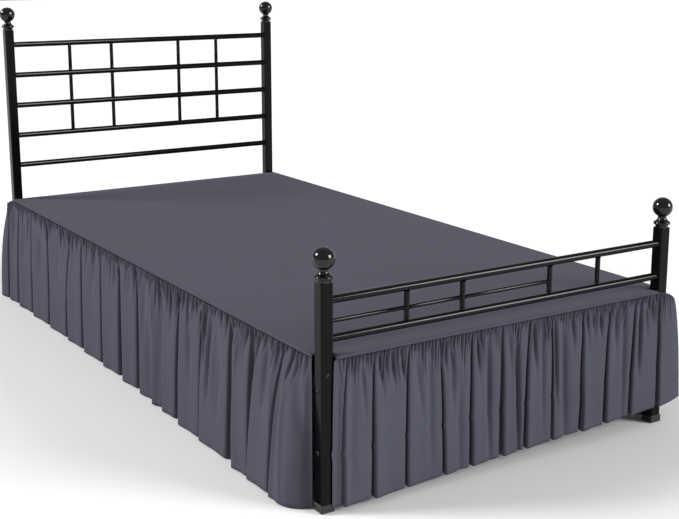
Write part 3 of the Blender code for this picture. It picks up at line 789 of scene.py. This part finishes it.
def bent_through(points, counts):
    """A smooth line through the points, with so many steps in each stretch."""
    line = []
    chords = [max(1e-6, math.dist(a, b)) for a, b in zip(points, points[1:])]
    for i, count in enumerate(counts):
        here, there = points[i], points[i + 1]
        leaving, arriving = slope_at(points, chords, i), slope_at(points, chords, i + 1)
        for step in range(count):
            t = step / count
            weights = (
                2 * t**3 - 3 * t**2 + 1,
                (t**3 - 2 * t**2 + t) * chords[i],
                3 * t**2 - 2 * t**3,
                (t**3 - t**2) * chords[i],
            )
            parts = (here, leaving, there, arriving)
            line.append(tuple(sum(w * part[axis] for w, part in zip(weights, parts)) for axis in (0, 1)))
    line.append(points[-1])
    return line


def kept_off(stand, z, rail_underside, by_post):
    """Where cloth would hang in through the rail or post behind it, it lies against the metal instead."""
    if by_post:
        limit = OFF_POST
    else:
        limit = OFF_RAIL - UNDER_RAIL[0] * eased((rail_underside - z) / UNDER_RAIL[1])
    clear = stand - limit
    return stand if clear > SOFT_TOUCH else limit + SOFT_TOUCH * math.exp(clear / SOFT_TOUCH - 1)


def gathers(start, end, seed, coarseness):
    """The small gathers along the seam: a narrow ridge and a tight crease beside it, again and again. Most
    fade out within a few centimetres and a few run on down the drop."""
    chance = random.Random(seed)
    found = []
    along = start + 0.006
    while along < end - 0.006:
        height = coarseness * chance.uniform(0.0028, 0.0060)
        length = 0.016 + 0.085 * chance.random() ** 2
        lean = chance.uniform(-0.20, 0.20)
        found.append(Pucker(along, height, coarseness * chance.uniform(0.0022, 0.0034), length, lean))
        beside = along + coarseness * chance.uniform(0.0035, 0.0055)
        width = coarseness * chance.uniform(0.0013, 0.0019)
        found.append(Pucker(beside, -1.5 * height, width, 1.2 * length, lean))
        along += coarseness * chance.uniform(0.0075, 0.0145)
    return found


def pucker_at(near, along, down):
    """How far the gathers push the cloth out at a place along the run and down the drop."""
    out = 0.0
    for p in near:
        if down < p.length:
            beside = (along - p.along - p.lean * down) / p.width
            if abs(beside) < 3:
                fade = (1 - down / p.length) * min(1.0, down / 0.002)
                out += p.height * math.exp(-beside * beside) * fade
    return out


def crease_at(near, along, share):
    """How far the listed creases move the cloth at a place."""
    out = 0.0
    for c in near:
        if c.first < share < c.last:
            run = (share - c.first) / (c.last - c.first)
            beside = (along - blend(c.start, c.end, run)) / c.width
            if abs(beside) < 3:
                out -= c.depth * math.exp(-beside * beside) * math.sin(math.pi * run**0.7) ** 0.8
    return out


def ruffle(
    name,
    node_name,
    folds,
    creases,
    ends,
    place,
    drop,
    seed,
    spacing,
    coarseness=1.0,
    opened=0.0,
    pressed=0.0,
):
    """Makes one ruffle. ends(share) gives the run's start and end at a share of the drop, and
    place(along, out, share) a point in the room. The spacing is between the mesh's columns. Pressed is how
    far the old fold line across the cloth stands out."""
    controls = [section(folds, *ends(share), share, seed, opened) for share in ROWS]
    counts = []
    for i in range(len(controls[0]) - 1):
        longest = max(math.dist(row[i], row[i + 1]) for row in controls)
        counts.append(max(2, math.ceil(longest / spacing)))
    rows = [bent_through(row, counts) for row in controls]
    columns = len(rows[0])
    puckers = gathers(*ends(0), seed, coarseness)
    puckers_near = [[p for p in puckers if abs(p.along - along) < NEAR] for along, _ in rows[0]]
    creases_near = [[c for c in creases if abs(c.start - along) < 2 * NEAR] for along, _ in rows[0]]
    bm = bmesh.new()
    bmesh.ops.create_grid(bm, x_segments=columns - 1, y_segments=len(ROWS) - 1, size=1.0)
    uv = bm.loops.layers.uv.new("cloth")
    middle = rows[ROWS.index(PRESSED_SHARE)]
    flat = [0.0]
    for a, b in zip(middle, middle[1:]):
        flat.append(flat[-1] + math.dist(a, b))
    spots = {}
    for v in bm.verts:
        column = round((v.co.x + 1) / 2 * (columns - 1))
        row = round((1 - v.co.y) / 2 * (len(ROWS) - 1))
        share = ROWS[row]
        along, out = rows[row][column]
        pushed = pucker_at(puckers_near[column], along, share * drop)
        out += pushed + crease_at(creases_near[column], along, share)
        out += LIMPNESS * noise.noise(Vector((along * 16, share * 2.5, seed))) * min(1.0, share * 5)
        out += SEAM_PUFF * math.exp(-share * drop / SEAM_PUFF_RUN) if row else -SEAM_TUCK
        fold_line = pressed * math.exp(-(((share - PRESSED_SHARE) / PRESSED_RUN) ** 2))
        spots[v.index] = (flat[column], share * drop)
        v.co = place(along - 2.0 * fold_line, out + fold_line, share)
        if row:
            v.co.z += (SEAM_RISE + 0.5 * max(0.0, pushed)) * math.exp(-share * drop / SEAM_RISE_RUN)
    for face in bm.faces:
        for loop in face.loops:
            loop[uv].uv = spots[loop.vert.index]
    strip = smooth_piece(name, bm, MICROFIBRE, 180.0)
    as_cloth(strip)
    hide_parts(node_name)


def side_ruffle(name, node_name, sign, seed):
    """A side ruffle's run goes from the head to the foot, where it ends just behind the post. The right one
    has the left one's folds, as in a mirror, with gathers of its own."""

    def ends(share):
        past_post = HALF_Y - POST_HALF - POST_CLEARANCE + TAB_LENGTH
        return -past_post - HEAD_END_GROWTH * share, HALF_Y - POST_HALF - SEAM_OUT

    def place(along, out, share):
        y = BED_SHIFT_Y - along
        past_head_post = max(0.0, y - HEAD_Y)
        near_foot_post = max(0.0, FOOT_Y + SIDE_CURL_RUN - y)
        curl = SIDE_END_CURL * past_head_post**2 + SIDE_POST_CURL * near_foot_post**2
        stand = (side_flare(-along) - curl) * flare_at(share) + out
        stand *= eased((ends(share)[1] - along) / SIDE_END_TURN)
        z = blend(side_seam_z(y) - SEAM_GAP, SIDE_HEM_Z, share)
        stand = kept_off(stand, z, SIDE_RAIL_UNDERSIDE, y > HEAD_Y - POST_HALF - NEAR_POST)
        return (sign * (SEAM_X + stand), y, z)

    ruffle(
        name,
        node_name,
        SIDE_FOLDS,
        SIDE_CREASES,
        ends,
        place,
        SIDE_DROP,
        seed,
        spacing=0.0021,
        coarseness=1.45,
        opened=0.45,
    )


def foot_ruffle():
    """The foot ruffle's run goes from left to right, from beside the left post to past the right one."""

    def ends(share):
        start = -POST_INNER_X - FOOT_END_REACH[0] - FOOT_END_REACH[1] * flare_at(share)
        return start, POST_INNER_X - POST_CLEARANCE + TAB_LENGTH + RIGHT_END_GROWTH * math.sqrt(share)

    def place(along, out, share):
        past_post = max(0.0, along - HALF_X)
        near_post = max(0.0, -HALF_X + FOOT_CURL_RUN - along)
        curl = FOOT_END_CURL * past_post**2 + FOOT_POST_CURL * near_post**2
        hem = blend(*FOOT_HEM_Z, (along + HALF_X) / (2 * HALF_X))
        stand = (FOOT_FLARE - curl) * flare_at(share) + out
        stand *= eased((along - ends(share)[0]) / FOOT_END_TURN)
        z = blend(foot_seam_z(along) - SEAM_GAP - foot_tab_sag(along), hem, share)
        stand = kept_off(stand, z, CROSS_RAIL_UNDERSIDE, abs(along) > POST_INNER_X - NEAR_POST)
        return (along, SEAM_FOOT_Y - stand, z)

    ruffle(
        "foot_ruffle",
        "skirt_foot_ruffle",
        FOOT_FOLDS,
        FOOT_CREASES,
        ends,
        place,
        FOOT_DROP,
        seed=23,
        spacing=0.0012,
        pressed=0.0015,
    )


side_ruffle("left_ruffle", "skirt_left_ruffle", -1, 5)
side_ruffle("right_ruffle", "skirt_right_ruffle", 1, 11)
foot_ruffle()
